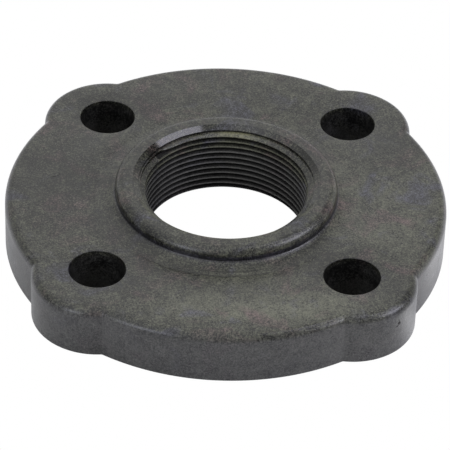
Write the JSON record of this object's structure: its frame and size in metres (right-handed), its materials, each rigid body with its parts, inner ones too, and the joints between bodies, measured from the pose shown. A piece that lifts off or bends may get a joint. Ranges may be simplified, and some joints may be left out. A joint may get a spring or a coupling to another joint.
{
  "type": "threaded pipe flange",
  "caption": "Flat round pipe flange moulded in dark grey plastic, with round bolt lobes, plain bolt holes and a low hub around a tapered female pipe thread.",
  "frame": {"origin": "centre of the flat gasket face (the underside), on the axis of the threaded bore", "axes": "+Z along the bore axis from the gasket face to the hub; the bolt holes lie on the diagonals between X and Y, so the four straight-through gaps between lobes face +X, -X, +Y and -Y"},
  "size_m": [0.1524, 0.1524, 0.0251],
  "materials": {
    "flange_plastic": "glass-filled polypropylene as moulded, dark grey, low sheen with a faint mottle"
  },
  "bodies": {
    "root": {"flange_body": "flange_plastic"}
  },
  "joints": []
}
